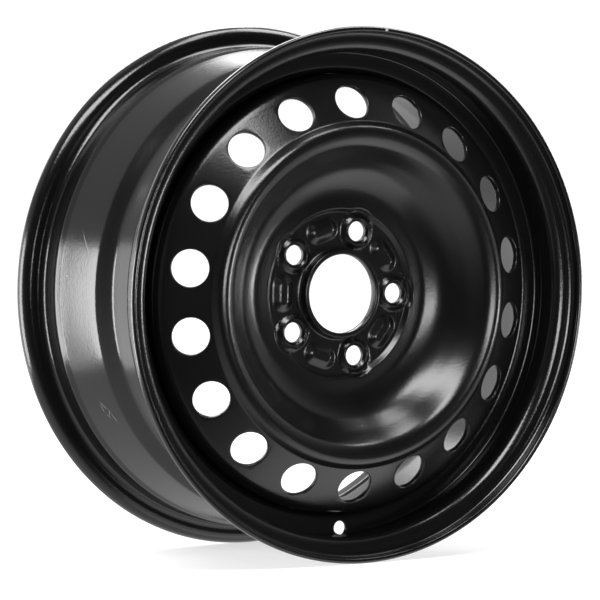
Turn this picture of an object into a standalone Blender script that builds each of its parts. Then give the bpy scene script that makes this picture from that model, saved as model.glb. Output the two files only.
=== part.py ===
"""Pressed-steel road wheel without its tyre, 16 x 6 1/2 J.

The axle line is Y, the street side faces -Y, and the origin is the middle of the
hoop. Sizes are in metres. A profile is a list of (radius, y) pairs.
"""

import math

import bmesh
import bpy
from mathutils import Matrix, Vector

MM = 0.001
INCH = 25.4 * MM

# Rim hoop: contour for a 16 x 6 1/2 J tyre, measured on the tyre's side of the sheet
RIM_WIDTH = 6.5 * INCH
BEAD_SEAT_RADIUS = 202.8 * MM
BEAD_SEAT_TAPER = math.radians(5)
SEAT_CORNER_RADIUS = 6.5 * MM
FLANGE_HEIGHT = 17.3 * MM
FLANGE_CURL_RADIUS = 9.5 * MM
FLANGE_LIP_ANGLE = math.radians(21.5)
HUMP_FROM_FLANGE = 21.8 * MM
HUMP_HALF_WIDTH = 4.2 * MM
HUMP_HEIGHT = 2.6 * MM
RIM_SHEET = 2.9 * MM
WELL_RADIUS = 184.2 * MM
WELL_OUTBOARD_Y = -52.1 * MM
WELL_INBOARD_Y = -2 * MM
WELL_CORNER_RADIUS = 4.5 * MM
WALL_TOP_OVER_SEAT = 1.3 * MM
LEDGE_START_OVER_WELL = 9 * MM
LEDGE_START_Y = 11.5 * MM
LEDGE_END_UNDER_SEAT = 2 * MM
LEDGE_END_Y = 55 * MM
BEND_RADIUS = 8 * MM
VALVE_HOLE_DIAMETER = 11.5 * MM
VALVE_HOLE_OVER_WELL = 10.2 * MM

# Disc: outboard surface of the pressing, and its sheet
DISC_SHEET = 4 * MM
HUB_FACE_Y = -50 * MM
CENTRE_BORE_DIAMETER = 65.1 * MM
COLLAR_HEIGHT = 8 * MM
COLLAR_FOOT_RADIUS = 3 * MM
PAD_RADIUS = 67.2 * MM
PAD_STEP_WIDTH = 3.2 * MM
PAD_STEP_HEIGHT = 4.2 * MM
PAD_RING_WIDTH = 12.6 * MM
PAD_RING_HEIGHT = 2.8 * MM
DISH_FOOT_WIDTH = 16 * MM
DISH_HEIGHT = 8.5 * MM
DISH_BEND_RADIUS = 42 * MM
CROWN_RADIUS = 138.5 * MM
CROWN_HEIGHT = 42 * MM
CROWN_BEND_RADIUS = 7 * MM
CROWN_SLOPE_WIDTH = 11.5 * MM
CROWN_SLOPE_HEIGHT = 3.4 * MM
CROWN_INNER_BEND_RADIUS = 14 * MM
CONE_ANGLE = math.radians(30)
SHOULDER_BEND_RADIUS = 12 * MM
SKIRT_END_Y = -10 * MM
FIT_CLEARANCE = 0.3 * MM

# Vents, pierced square to the cone
VENT_COUNT = 18
VENT_DIAMETER = 30.5 * MM
VENT_CIRCLE_RADIUS = 158.6 * MM
VENT_CENTRE_HEIGHT = 23.8 * MM

# Depth of the foot that roots a raised form in the sheet
FORM_ROOT = 1 * MM

# Bolt seats: raised cones on a 5 x 108 circle
BOLT_COUNT = 5
BOLT_CIRCLE_DIAMETER = 108 * MM
BOLT_HOLE_DIAMETER = 16.5 * MM
BOLT_SEAT_DIAMETER = 20.6 * MM
BOLT_SEAT_DEPTH = 2.1 * MM
BOSS_BASE_DIAMETER = 31 * MM
BOSS_TOP_DIAMETER = 23.5 * MM
BOSS_HEIGHT = 3.6 * MM
BOSS_HOLLOW_DIAMETER = 25 * MM
BOSS_HOLLOW_TOP_DIAMETER = 19 * MM
BOSS_HOLLOW_DEPTH = 2.4 * MM

# Stiffening beads between the bolt seats
BEAD_LENGTH = 31 * MM
BEAD_WIDTH = 19 * MM
BEAD_SLOPE_WIDTH = 6 * MM
BEAD_HEIGHT = 3.2 * MM
BEAD_HOLLOW_MARGIN = 3.4 * MM
BEAD_HOLLOW_DEPTH = 1.9 * MM

# Stitch welds between skirt and hoop
WELD_COUNT = 8
WELD_LEG = 3.8 * MM
WELD_BULGE = 0.7 * MM
WELD_STEPS = 3
WELD_SEGMENTS = 4

# Angles are measured from +X towards +Z
STANDING_TURN = math.radians(0.5)
VALVE_ANGLE = math.radians(270) + STANDING_TURN
BOLT_ANGLE = math.radians(70.1) + STANDING_TURN
BEAD_ANGLE = BOLT_ANGLE + math.pi / BOLT_COUNT

# Largest share of a straight run that one bend takes
BEND_ROOM = 0.95

TURN_STEPS = 56
CURL_SEGMENTS = 4
HOLE_SEGMENTS = 16
BOSS_SEGMENTS = 18
OVERCUT = 3 * MM

PAINT_COLOUR = (0.012, 0.012, 0.013, 1)
PAINT_ROUGHNESS = 0.36
WELD_ROUGHNESS = 0.5

PAD_FRONT_Y = HUB_FACE_Y - DISC_SHEET


def arc(centre, radius, start, end, segments):
    """Points of a circular arc in the profile plane."""
    points = []
    for i in range(segments + 1):
        angle = start + (end - start) * i / segments
        points.append((centre[0] + radius * math.cos(angle), centre[1] + radius * math.sin(angle)))
    return points


def fillet(before, corner, after, radius, segments):
    """Arc that rounds one corner of a profile, with the given radius where both runs leave room for it."""
    corner = Vector(corner)
    back = Vector(before) - corner
    ahead = Vector(after) - corner
    half = back.angle(ahead) / 2
    reach = min(radius / math.tan(half), BEND_ROOM * min(back.length, ahead.length))
    radius = reach * math.tan(half)
    back.normalize()
    ahead.normalize()
    centre = corner + (back + ahead).normalized() * radius / math.sin(half)
    first = corner + back * reach - centre
    last = corner + ahead * reach - centre
    turn = math.atan2(first.x * last.y - first.y * last.x, first.dot(last))
    start = math.atan2(first.y, first.x)
    return arc(centre, radius, start, start + turn, segments)


def rounded(corners):
    """Profile through corners (radius, y, bend radius, segments), each bend as an arc."""
    points = [corners[0][:2]]
    for before, corner, after in zip(corners, corners[1:], corners[2:]):
        if corner[3]:
            points += fillet(before[:2], corner[:2], after[:2], corner[2], corner[3])
        else:
            points.append(corner[:2])
    points.append(corners[-1][:2])
    return points


def curl_radius():
    """Distance of a curl's centre from the axle, where the flange starts to curl."""
    return BEAD_SEAT_RADIUS + FLANGE_HEIGHT - FLANGE_CURL_RADIUS


def flange_curl(side):
    """Curled flange edge on the tyre's side, from the lip to the flange's foot."""
    centre = (curl_radius(), side * (RIM_WIDTH / 2 + FLANGE_CURL_RADIUS))
    curl = arc(centre, FLANGE_CURL_RADIUS, side * FLANGE_LIP_ANGLE, -side * math.pi / 2, CURL_SEGMENTS)
    return curl[:-1]


def seat_radius(y):
    """Tapered bead seat: the radius on the tyre's side at a place y along the axle."""
    return BEAD_SEAT_RADIUS - (RIM_WIDTH / 2 - abs(y)) * math.tan(BEAD_SEAT_TAPER)


def seat_and_hump(side):
    """Corners from the flange's foot over the bead seat to the top of the hump."""
    hump_y = RIM_WIDTH / 2 - HUMP_FROM_FLANGE
    foot_y = side * (hump_y + HUMP_HALF_WIDTH)
    top_y = side * hump_y
    return [
        (curl_radius(), side * RIM_WIDTH / 2, 0, 0),
        (BEAD_SEAT_RADIUS, side * RIM_WIDTH / 2, SEAT_CORNER_RADIUS, 2),
        (seat_radius(foot_y), foot_y, 0, 0),
        (seat_radius(top_y) + HUMP_HEIGHT, top_y, 0, 0),
    ]


def well_end_bend():
    """Radius of the bend at the end of the drop centre's floor, kept clear of the welds."""
    turn = math.atan2(LEDGE_START_OVER_WELL, LEDGE_START_Y - WELL_INBOARD_Y)
    welds_end = SKIRT_END_Y + FIT_CLEARANCE + WELD_LEG
    room = WELL_INBOARD_Y - FIT_CLEARANCE - welds_end
    return min(BEND_RADIUS, room / math.tan(turn / 2))


def rim_profile():
    """Tyre side of the hoop from the street-side lip to the inboard lip."""
    wall_top = seat_radius(WELL_OUTBOARD_Y) + WALL_TOP_OVER_SEAT
    corners = seat_and_hump(-1)
    corners += [
        (wall_top, WELL_OUTBOARD_Y, BEND_RADIUS - RIM_SHEET, 2),
        (WELL_RADIUS, WELL_OUTBOARD_Y, WELL_CORNER_RADIUS, 2),
        (WELL_RADIUS, WELL_INBOARD_Y, well_end_bend(), 1),
        (WELL_RADIUS + LEDGE_START_OVER_WELL, LEDGE_START_Y, BEND_RADIUS, 1),
        (BEAD_SEAT_RADIUS - LEDGE_END_UNDER_SEAT, LEDGE_END_Y, 0, 0),
    ]
    corners += reversed(seat_and_hump(1))
    middle = rounded(corners)
    return flange_curl(-1) + middle[1:-1] + flange_curl(1)[::-1]


def well_inner_radius():
    """Inner side of the drop centre, where the skirt is pressed in."""
    return WELL_RADIUS - RIM_SHEET


def cone_y(radius):
    """Outboard surface of the vent cone at a radius."""
    centre_y = PAD_FRONT_Y - VENT_CENTRE_HEIGHT
    return centre_y + (radius - VENT_CIRCLE_RADIUS) * math.tan(CONE_ANGLE)


def disc_profile():
    """Outboard side of the disc from the collar's edge to the skirt's edge."""
    collar_radius = CENTRE_BORE_DIAMETER / 2 + DISC_SHEET
    skirt_radius = well_inner_radius() - FIT_CLEARANCE
    crown_y = PAD_FRONT_Y - CROWN_HEIGHT
    crown_inner = CROWN_RADIUS - CROWN_SLOPE_WIDTH
    cone_start = CROWN_RADIUS + CROWN_BEND_RADIUS
    step_end = PAD_RADIUS + PAD_STEP_WIDTH
    ring_end = step_end + PAD_RING_WIDTH
    corners = [
        (collar_radius, PAD_FRONT_Y - COLLAR_HEIGHT, 0, 0),
        (collar_radius, PAD_FRONT_Y, COLLAR_FOOT_RADIUS, 2),
        (PAD_RADIUS, PAD_FRONT_Y, 0, 0),
        (step_end, PAD_FRONT_Y - PAD_STEP_HEIGHT, 0, 0),
        (ring_end, PAD_FRONT_Y - PAD_RING_HEIGHT, 0, 0),
        (ring_end + DISH_FOOT_WIDTH, PAD_FRONT_Y - DISH_HEIGHT, DISH_BEND_RADIUS, 2),
        (crown_inner, crown_y + CROWN_SLOPE_HEIGHT, CROWN_INNER_BEND_RADIUS, 1),
        (CROWN_RADIUS, crown_y, CROWN_BEND_RADIUS, 3),
        (cone_start, cone_y(cone_start), 0, 0),
        (skirt_radius, cone_y(skirt_radius), SHOULDER_BEND_RADIUS, 2),
        (skirt_radius, SKIRT_END_Y, 0, 0),
    ]
    return rounded(corners)


def on_circle(radius, angle, y):
    """Point at a radius and angle round the axle."""
    return Vector((radius * math.cos(angle), y, radius * math.sin(angle)))


def facing(angle, lean=0):
    """Rotation that takes +Z to the street side at an angle round the axle, leaning outwards by lean."""
    radial = Vector((math.cos(angle), 0, math.sin(angle)))
    outward = Vector((0, -math.cos(lean), 0)) + radial * math.sin(lean)
    tangent = outward.cross(radial).normalized()
    across = tangent.cross(outward)
    return Matrix((across, tangent, outward)).transposed().to_4x4()


def empty_collection(name):
    collection = bpy.data.collections.new(name)
    bpy.context.scene.collection.children.link(collection)
    return collection


def link_mesh(name, mesh, collection):
    body = bpy.data.objects.new(name, mesh)
    collection.objects.link(body)
    return body


def second_side(profile, thickness):
    """The other side of a sheet: the profile moved square to itself towards the axle or the hub face."""
    points = [Vector(point) for point in profile]
    runs = [(after - before).normalized() for before, after in zip(points, points[1:])]
    sides = [Vector((-run.y, run.x)) for run in runs]
    moved = [points[0] + sides[0] * thickness]
    for point, before, after in zip(points[1:], sides, sides[1:]):
        moved.append(point + (before + after) * thickness / (1 + before.dot(after)))
    moved.append(points[-1] + sides[-1] * thickness)
    return [tuple(point) for point in moved]


def turned_sheet(name, profile, thickness, collection):
    """Sheet-metal ring: both sides of its section as one loop, swept round the axle."""
    mesh = bpy.data.meshes.new(name)
    loop = profile + second_side(profile, thickness)[::-1]
    vertices = [(radius, y, 0) for radius, y in loop]
    edges = [(i, (i + 1) % len(loop)) for i in range(len(loop))]
    mesh.from_pydata(vertices, edges, [])
    body = link_mesh(name, mesh, collection)
    screw = body.modifiers.new("turn", "SCREW")
    screw.axis = "Y"
    screw.steps = TURN_STEPS
    screw.render_steps = TURN_STEPS
    screw.use_merge_vertices = True
    screw.merge_threshold = 0.0001
    screw.use_normal_flip = True
    screw.use_smooth_shade = True
    return body


def cone_into(mesh_data, bottom, top, height, segments, matrix):
    """Adds a closed cone or cylinder, standing on its own XY plane before the matrix places it."""
    lift = Matrix.Translation((0, 0, height / 2))
    bmesh.ops.create_cone(
        mesh_data,
        cap_ends=True,
        segments=segments,
        radius1=bottom,
        radius2=top,
        depth=height,
        matrix=matrix @ lift,
    )


def obround_into(mesh_data, bottom_width, top_width, length, height, matrix):
    """Adds a raised bead with round ends: a cone pulled apart across its middle."""
    before = set(mesh_data.verts)
    half_step = Matrix.Rotation(math.pi / HOLE_SEGMENTS, 4, "Z")
    cone_into(mesh_data, bottom_width / 2, top_width / 2, height, HOLE_SEGMENTS, half_step)
    added = [vertex for vertex in mesh_data.verts if vertex not in before]
    pull = (length - bottom_width) / 2
    for vertex in added:
        vertex.co.y += math.copysign(pull, vertex.co.y)
    bmesh.ops.transform(mesh_data, matrix=matrix, verts=added)


def tool_object(name, mesh_data, collection):
    """Turns a bmesh into a hidden helper body for a Boolean."""
    mesh = bpy.data.meshes.new(name)
    mesh_data.to_mesh(mesh)
    mesh_data.free()
    helper = link_mesh(name, mesh, collection)
    helper.hide_render = True
    helper.display_type = "WIRE"
    return helper


def boolean(body, helper, operation):
    modifier = body.modifiers.new(helper.name, "BOOLEAN")
    modifier.operation = operation
    modifier.object = helper
    modifier.solver = "EXACT"


def vent_punches(collection):
    shapes = bmesh.new()
    depth = DISC_SHEET + 2 * OVERCUT
    for i in range(VENT_COUNT):
        angle = VALVE_ANGLE + 2 * math.pi * i / VENT_COUNT
        place = Matrix.Translation(on_circle(VENT_CIRCLE_RADIUS, angle, cone_y(VENT_CIRCLE_RADIUS)))
        back_off = Matrix.Translation((0, 0, -DISC_SHEET - OVERCUT))
        matrix = place @ facing(angle, CONE_ANGLE) @ back_off
        cone_into(shapes, VENT_DIAMETER / 2, VENT_DIAMETER / 2, depth, HOLE_SEGMENTS, matrix)
    return tool_object("vent_punches", shapes, collection)


def at_bolt(index, y):
    angle = BOLT_ANGLE + 2 * math.pi * index / BOLT_COUNT
    return Matrix.Translation(on_circle(BOLT_CIRCLE_DIAMETER / 2, angle, y)) @ facing(angle)


def at_bead(index, y):
    angle = BEAD_ANGLE + 2 * math.pi * index / BOLT_COUNT
    return Matrix.Translation(on_circle(BOLT_CIRCLE_DIAMETER / 2, angle, y)) @ facing(angle)


def raised_forms(collection):
    """Bolt bosses and beads that stand out of the pad, rooted in the sheet."""
    shapes = bmesh.new()
    boss_flare = (BOSS_BASE_DIAMETER - BOSS_TOP_DIAMETER) / 2 / BOSS_HEIGHT * FORM_ROOT
    bead_flare = 2 * BEAD_SLOPE_WIDTH / BEAD_HEIGHT * FORM_ROOT
    for i in range(BOLT_COUNT):
        cone_into(
            shapes,
            BOSS_BASE_DIAMETER / 2 + boss_flare,
            BOSS_TOP_DIAMETER / 2,
            BOSS_HEIGHT + FORM_ROOT,
            BOSS_SEGMENTS,
            at_bolt(i, PAD_FRONT_Y + FORM_ROOT),
        )
        obround_into(
            shapes,
            BEAD_WIDTH + bead_flare,
            BEAD_WIDTH - 2 * BEAD_SLOPE_WIDTH,
            BEAD_LENGTH + bead_flare,
            BEAD_HEIGHT + FORM_ROOT,
            at_bead(i, PAD_FRONT_Y + FORM_ROOT),
        )
    return tool_object("raised_forms", shapes, collection)


def pressed_hollows(collection):
    """Hollows that the press leaves in the hub face behind the bosses and beads."""
    shapes = bmesh.new()
    start_y = HUB_FACE_Y + OVERCUT
    boss_slope = (BOSS_HOLLOW_DIAMETER - BOSS_HOLLOW_TOP_DIAMETER) / 2 / BOSS_HOLLOW_DEPTH
    width = BEAD_WIDTH - 2 * BEAD_HOLLOW_MARGIN
    length = BEAD_LENGTH - 2 * BEAD_HOLLOW_MARGIN
    bead_slope = BEAD_SLOPE_WIDTH / BEAD_HEIGHT
    for i in range(BOLT_COUNT):
        cone_into(
            shapes,
            BOSS_HOLLOW_DIAMETER / 2 + boss_slope * OVERCUT,
            BOSS_HOLLOW_TOP_DIAMETER / 2,
            BOSS_HOLLOW_DEPTH + OVERCUT,
            BOSS_SEGMENTS,
            at_bolt(i, start_y),
        )
        obround_into(
            shapes,
            width + 2 * bead_slope * OVERCUT,
            width - 2 * bead_slope * BEAD_HOLLOW_DEPTH,
            length + 2 * bead_slope * OVERCUT,
            BEAD_HOLLOW_DEPTH + OVERCUT,
            at_bead(i, start_y),
        )
    return tool_object("pressed_hollows", shapes, collection)


def bolt_drills(collection):
    """Bolt holes with their conical seats."""
    holes = bmesh.new()
    seats = bmesh.new()
    seat_slope = (BOLT_SEAT_DIAMETER - BOLT_HOLE_DIAMETER) / 2 / BOLT_SEAT_DEPTH
    boss_top_y = PAD_FRONT_Y - BOSS_HEIGHT
    hole_depth = DISC_SHEET + BOSS_HEIGHT + 2 * OVERCUT
    hole_radius = BOLT_HOLE_DIAMETER / 2
    for i in range(BOLT_COUNT):
        from_behind = at_bolt(i, HUB_FACE_Y + OVERCUT)
        cone_into(holes, hole_radius, hole_radius, hole_depth, BOSS_SEGMENTS, from_behind)
        cone_into(
            seats,
            hole_radius,
            BOLT_SEAT_DIAMETER / 2 + seat_slope * OVERCUT,
            BOLT_SEAT_DEPTH + OVERCUT,
            BOSS_SEGMENTS,
            at_bolt(i, boss_top_y + BOLT_SEAT_DEPTH),
        )
    return tool_object("bolt_drills", holes, collection), tool_object("seat_cones", seats, collection)


def valve_drill(collection):
    shapes = bmesh.new()
    centre = on_circle(WELL_RADIUS + VALVE_HOLE_OVER_WELL, VALVE_ANGLE, WELL_OUTBOARD_Y + OVERCUT)
    matrix = Matrix.Translation(centre) @ facing(VALVE_ANGLE)
    radius = VALVE_HOLE_DIAMETER / 2
    cone_into(shapes, radius, radius, RIM_SHEET + 2 * OVERCUT, HOLE_SEGMENTS, matrix)
    return tool_object("valve_drill", shapes, collection)


def weld_section():
    """Fillet weld in the corner between the skirt's edge and the drop centre, its face bulged."""
    corner = Vector((well_inner_radius() - FIT_CLEARANCE, SKIRT_END_Y + FIT_CLEARANCE))
    outward = Vector((-1, 1)).normalized()
    half_chord = WELD_LEG / math.sqrt(2)
    face_radius = (half_chord**2 + WELD_BULGE**2) / (2 * WELD_BULGE)
    centre = corner + outward * (half_chord + WELD_BULGE - face_radius)
    middle = math.atan2(outward.y, outward.x)
    swing = math.asin(half_chord / face_radius)
    return [tuple(corner)] + arc(centre, face_radius, middle - swing, middle + swing, WELD_SEGMENTS)


def weld_bead(index, collection):
    """One stitch weld, swept over a few steps of the same division as the hoop."""
    name = f"weld_{index + 1}"
    shapes = bmesh.new()
    vertices = [shapes.verts.new((radius, y, 0)) for radius, y in weld_section()]
    face = shapes.faces.new(vertices)
    step = 2 * math.pi / TURN_STEPS
    bmesh.ops.spin(
        shapes,
        geom=[face, *face.edges, *vertices],
        cent=(0, 0, 0),
        axis=(0, -1, 0),
        angle=WELD_STEPS * step,
        steps=WELD_STEPS,
        use_merge=False,
    )
    first_step = round((index + 0.5) * TURN_STEPS / WELD_COUNT)
    turn = Matrix.Rotation(-first_step * step, 4, "Y")
    bmesh.ops.transform(shapes, matrix=turn, verts=shapes.verts)
    bmesh.ops.recalc_face_normals(shapes, faces=shapes.faces)
    mesh = bpy.data.meshes.new(name)
    shapes.to_mesh(mesh)
    shapes.free()
    return link_mesh(name, mesh, collection)


def paint(name, roughness):
    material = bpy.data.materials.new(name)
    material.use_nodes = True
    shader = material.node_tree.nodes["Principled BSDF"]
    shader.inputs["Base Color"].default_value = PAINT_COLOUR
    shader.inputs["Roughness"].default_value = roughness
    shader.inputs["Metallic"].default_value = 0
    material.diffuse_color = PAINT_COLOUR
    return material


def clear_scene():
    for item in list(bpy.data.objects):
        bpy.data.objects.remove(item)


def main():
    clear_scene()
    wheel = empty_collection("steel_wheel")
    cutters = empty_collection("wheel_tools")

    rim = turned_sheet("rim", rim_profile(), RIM_SHEET, wheel)
    boolean(rim, valve_drill(cutters), "DIFFERENCE")
    rim.data.materials.append(paint("rim_black_paint", PAINT_ROUGHNESS))

    disc = turned_sheet("disc", disc_profile(), DISC_SHEET, wheel)
    boolean(disc, raised_forms(cutters), "UNION")
    boolean(disc, pressed_hollows(cutters), "DIFFERENCE")
    holes, seats = bolt_drills(cutters)
    boolean(disc, holes, "DIFFERENCE")
    boolean(disc, seats, "DIFFERENCE")
    boolean(disc, vent_punches(cutters), "DIFFERENCE")
    disc.data.materials.append(paint("disc_black_paint", PAINT_ROUGHNESS))

    weld_paint = paint("weld_black_paint", WELD_ROUGHNESS)
    for index in range(WELD_COUNT):
        weld_bead(index, wheel).data.materials.append(weld_paint)


main()
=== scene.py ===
"""Looks of a pressed-steel road wheel without its tyre: fine meshes, black paint and a white studio.

The wheel stands on its flanges with its axle line along Y, its street side towards -Y and
its valve hole at the bottom. Sizes are in metres. A profile is a list of (radius, y) points.
"""

import math
from bisect import bisect_right

import bmesh
import bpy
from bpy.props import FloatProperty, FloatVectorProperty, IntProperty, PointerProperty
from mathutils import Matrix, Vector


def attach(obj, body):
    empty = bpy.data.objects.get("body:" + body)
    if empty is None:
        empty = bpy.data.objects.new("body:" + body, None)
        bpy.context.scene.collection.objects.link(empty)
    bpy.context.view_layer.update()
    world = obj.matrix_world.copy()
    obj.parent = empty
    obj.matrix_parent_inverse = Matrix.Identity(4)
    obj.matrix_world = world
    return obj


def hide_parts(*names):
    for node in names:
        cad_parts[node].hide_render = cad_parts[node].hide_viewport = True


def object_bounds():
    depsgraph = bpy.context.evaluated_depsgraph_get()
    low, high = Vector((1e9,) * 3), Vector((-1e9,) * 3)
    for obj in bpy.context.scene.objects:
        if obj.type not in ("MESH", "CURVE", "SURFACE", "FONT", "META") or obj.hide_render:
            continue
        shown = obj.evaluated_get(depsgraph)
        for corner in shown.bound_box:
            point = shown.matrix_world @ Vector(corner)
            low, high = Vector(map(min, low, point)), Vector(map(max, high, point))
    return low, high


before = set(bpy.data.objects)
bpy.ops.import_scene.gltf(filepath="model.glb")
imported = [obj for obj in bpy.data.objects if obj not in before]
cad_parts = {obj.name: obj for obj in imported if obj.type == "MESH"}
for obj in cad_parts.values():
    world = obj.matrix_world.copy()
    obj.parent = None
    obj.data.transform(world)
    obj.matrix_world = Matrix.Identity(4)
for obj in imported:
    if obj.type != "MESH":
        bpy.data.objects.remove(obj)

bl_info = {
    "name": "Pressed steel road wheel",
    "version": (1, 0, 0),
    "blender": (4, 5, 0),
    "location": "3D View > Sidebar > Wheel",
    "description": "Fine meshes, paint and studio for a pressed steel road wheel",
    "category": "Object",
}

MM = 0.001
CAD_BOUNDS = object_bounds()
FULL_TURN = 2 * math.pi

# Softboxes: name, azimuth and elevation in degrees, distance, width, height, brightness
SOFTBOXES = (
    ("key_softbox", -38, 54, 1.3, 1.05, 0.42, 11),
    ("top_softbox", 70, 76, 1.2, 0.7, 0.3, 7),
    ("high_back_softbox", 162, 34, 1.0, 0.45, 0.3, 4),
    ("left_back_softbox", -112, -4.6, 0.557, 0.18, 0.35, 9),
    ("left_back_panel", -132, -5, 0.517, 0.16, 0.35, 1.6),
    ("back_left_panel", -163, 4, 0.576, 0.35, 0.55, 1.3),
    ("right_softbox", 110, 0, 1.2, 0.5, 0.6, 5),
    ("right_low_softbox", 58, -6, 1.2, 0.3, 0.12, 14),
    ("back_right_softbox", 95, 57, 1.4, 0.7, 0.4, 7),
    ("ground_softbox", 35, -48, 1.1, 0.9, 0.8, 0.7),
    ("small_softbox", -2, 3, 1.6, 0.7, 0.26, 11),
)

# Marks in the paint, in millimetres: centre, direction, half length, half width, depth; and strength
HOOP_MARKS = (
    ((-190.9, 29.2, 43.1), (-2.8, -22.7, -30.2), 19, 0.5, 3, 0.45),
    ((-174, 31, -91), (13.4, -12.9, -12), 8, 0.5, 4, 0.5),
    ((-173, 34, -93), (2, -1, -20), 6, 0.45, 4, 0.5),
    ((-170, 28, -97), (13, 12, -12), 7, 0.5, 4, 0.45),
    ((-167, 25, -101), (13.4, -6, -22), 8, 0.45, 4, 0.5),
    ((-169, 31, -100), (10, -14, -10), 5, 0.4, 4, 0.4),
    ((-198.9, 47.5, 15.5), (0, 0, 1), 1.2, 0.8, 2, 0.6),
    ((20.9, -95.5, 216.9), (1, 0, 0), 2.2, 0.8, 2, 0.9),
    ((-118, -94.5, 183), (1, 0, 0.64), 3, 0.6, 2, 0.5),
)
DISC_MARKS = (
    ((56.2, -81.9, -103.7), (1, 0, -0.8), 2.4, 0.6, 2, 0.9),
    ((58.1, -77.6, -98.3), (0.6, 0, -1), 1.4, 0.5, 2, 0.7),
    ((11.2, -73.6, -109.7), (1, 0, 0.3), 1.6, 0.6, 2, 0.6),
)

# Fineness: steps round the axle, one to a degree, and pieces of a lip, a cut edge and a hole's edge
STEPS = 360
LIP_PIECES = 8
CUT_PIECES = 3
HOLE_PIECES = 4

# Longest straight pieces of hoop, disc and pad, and the tightest bend on a sheet's other side
HOOP_PIECE = 9 * MM
DISC_PIECE = 12 * MM
PAD_PIECE = 1.4 * MM
TIGHTEST_BEND = 1.5 * MM

# Faces taken out round a hole: distances along the section, and degrees to each side
VALVE_WINDOW = 8 * MM
VALVE_WINDOW_BACK = 9 * MM
VALVE_WINDOW_SIDE = 3
VENT_WINDOW_START = 0.9 * MM
VENT_WINDOW_OUT = 15.6 * MM
VENT_WINDOW_SIDE = 6.9
BOLT_WINDOW_IN = 13.4 * MM
BOLT_WINDOW_OUT = 13.2 * MM
BOLT_WINDOW_SIDE = 14

# Shares and lengths of the pressed forms
FINE_RING = 0.35
CROWN_SIDE = 0.8
HOLLOW_SLOPE = 0.6
PAD_FORMS_END = 8 * MM
COLLAR_CLEAR = 1 * MM
BOSS_RING = 12.6 * MM
PAST_FORMS = 100 * MM
SLACK = 0.1 * MM
TINY = 0.001 * MM

# Stitch weld: steps, pieces across, share of its leg in the middle, more at the sides, at the ends
WELD_STEPS = 104
WELD_PIECES = 8
WELD_MIDDLE = 0.72
WELD_SIDES_MORE = 0.26
WELD_END = 0.35

# Paint: what is added to its roughness, size of its clouds, depth of its peel, where a mark fades in
DISC_DULLER = 0.04
WELD_DULLER = 0.1
CLOUD_GLOSS = -0.02
CLOUD_DULL = 0.03
CLOUD_SIZE = 40
PEEL_DEPTH = 0.5 * MM
MARK_LIMITS = (0.12, 0.3)

# Studio: the floor, where its glow and the ground's change, the backdrop, watts to 1 m2 of white paper
WHITE = (1, 1, 1, 1)
FLOOR_REACH = 3
FLOOR_TONE = (0.45, 0.45, 0.45)
FLOOR_ROUGHNESS = 0.9
GLOW_LIMITS = (0.4, 1)
GROUND_LIMITS = (-0.7, -0.05)
BACKDROP = 1.1
PAPER_WATTS = 4


def length(name, millimetres, description):
    """Length property, with its default in millimetres."""
    default = millimetres * MM
    return FloatProperty(name=name, description=description, default=default, unit="LENGTH", precision=5)


def turn(name, degrees, description):
    """Angle property, with its default in degrees."""
    return FloatProperty(name=name, description=description, default=math.radians(degrees), unit="ROTATION")


def share(name, value, description):
    """Property of a plain number."""
    return FloatProperty(name=name, description=description, default=value, precision=4)


def count(name, value, description):
    """Property of a whole number."""
    return IntProperty(name=name, description=description, default=value, min=1)


def colour(name, value, description):
    """Property of a linear colour."""
    return FloatVectorProperty(name=name, description=description, default=value, subtype="COLOR", size=3)


class WheelRimSizes(bpy.types.PropertyGroup):
    """Rolled hoop: contour of a 16 x 6 1/2 J rim on the tyre's side of the sheet."""

    width: length("Width", 165.1, "Distance between the two flanges")
    seat: length("Seat radius", 202.8, "Radius of the bead seat at the flange")
    taper: turn("Seat taper", 5, "Slope of the bead seat")
    seat_corner: length("Seat corner", 6.5, "Radius between bead seat and flange")
    flange: length("Flange height", 17.24, "From the bead seat to the top of the flange")
    curl: length("Curl radius", 9.5, "Outer radius of the curled flange edge")
    lip_angle: turn("Lip angle", 10, "How far the curl goes on past the top of the flange")
    lip: length("Lip thickness", 4.4, "Thickness of the rounded lip at the curl's end")
    sheet: length("Sheet", 2.9, "Thickness of the hoop")
    hump_place: length("Hump place", 21.8, "From the flange to the top of the hump")
    hump_half: length("Hump half width", 4.2, "From the foot of the hump to its top")
    hump: length("Hump height", 2.6, "Height of the hump over the bead seat")
    hump_bend: length("Hump bend", 4.5, "Radius over the top of the hump")
    well: length("Well radius", 184.2, "Radius of the drop centre's floor")
    well_start: length("Well start", -52.1, "Place of the drop centre's street-side wall")
    well_end: length("Well end", -2, "Place where the drop centre's floor ends")
    well_corner: length("Well corner", 4.5, "Radius in the drop centre's corner")
    ledge_start: length("Ledge start radius", 193.2, "Radius where the inboard ledge starts")
    ledge_start_y: length("Ledge start", 11.5, "Place where the inboard ledge starts")
    ledge_end: length("Ledge end radius", 200.8, "Radius where the inboard ledge ends")
    ledge_end_y: length("Ledge end", 55, "Place where the inboard ledge ends")
    bend: length("Bends", 8, "Radius of the bends beside the drop centre")
    valve_hole: length("Valve hole", 11.5, "Diameter of the valve hole")
    valve_radius: length("Valve hole place", 194.4, "Distance of the valve hole from the axle")
    valve_edge: length("Valve hole edge", 0.7, "Rounding of the valve hole's edge")
    valve_angle: turn("Valve angle", 270.5, "Place of the valve hole round the axle, from +X towards +Z")


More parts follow.
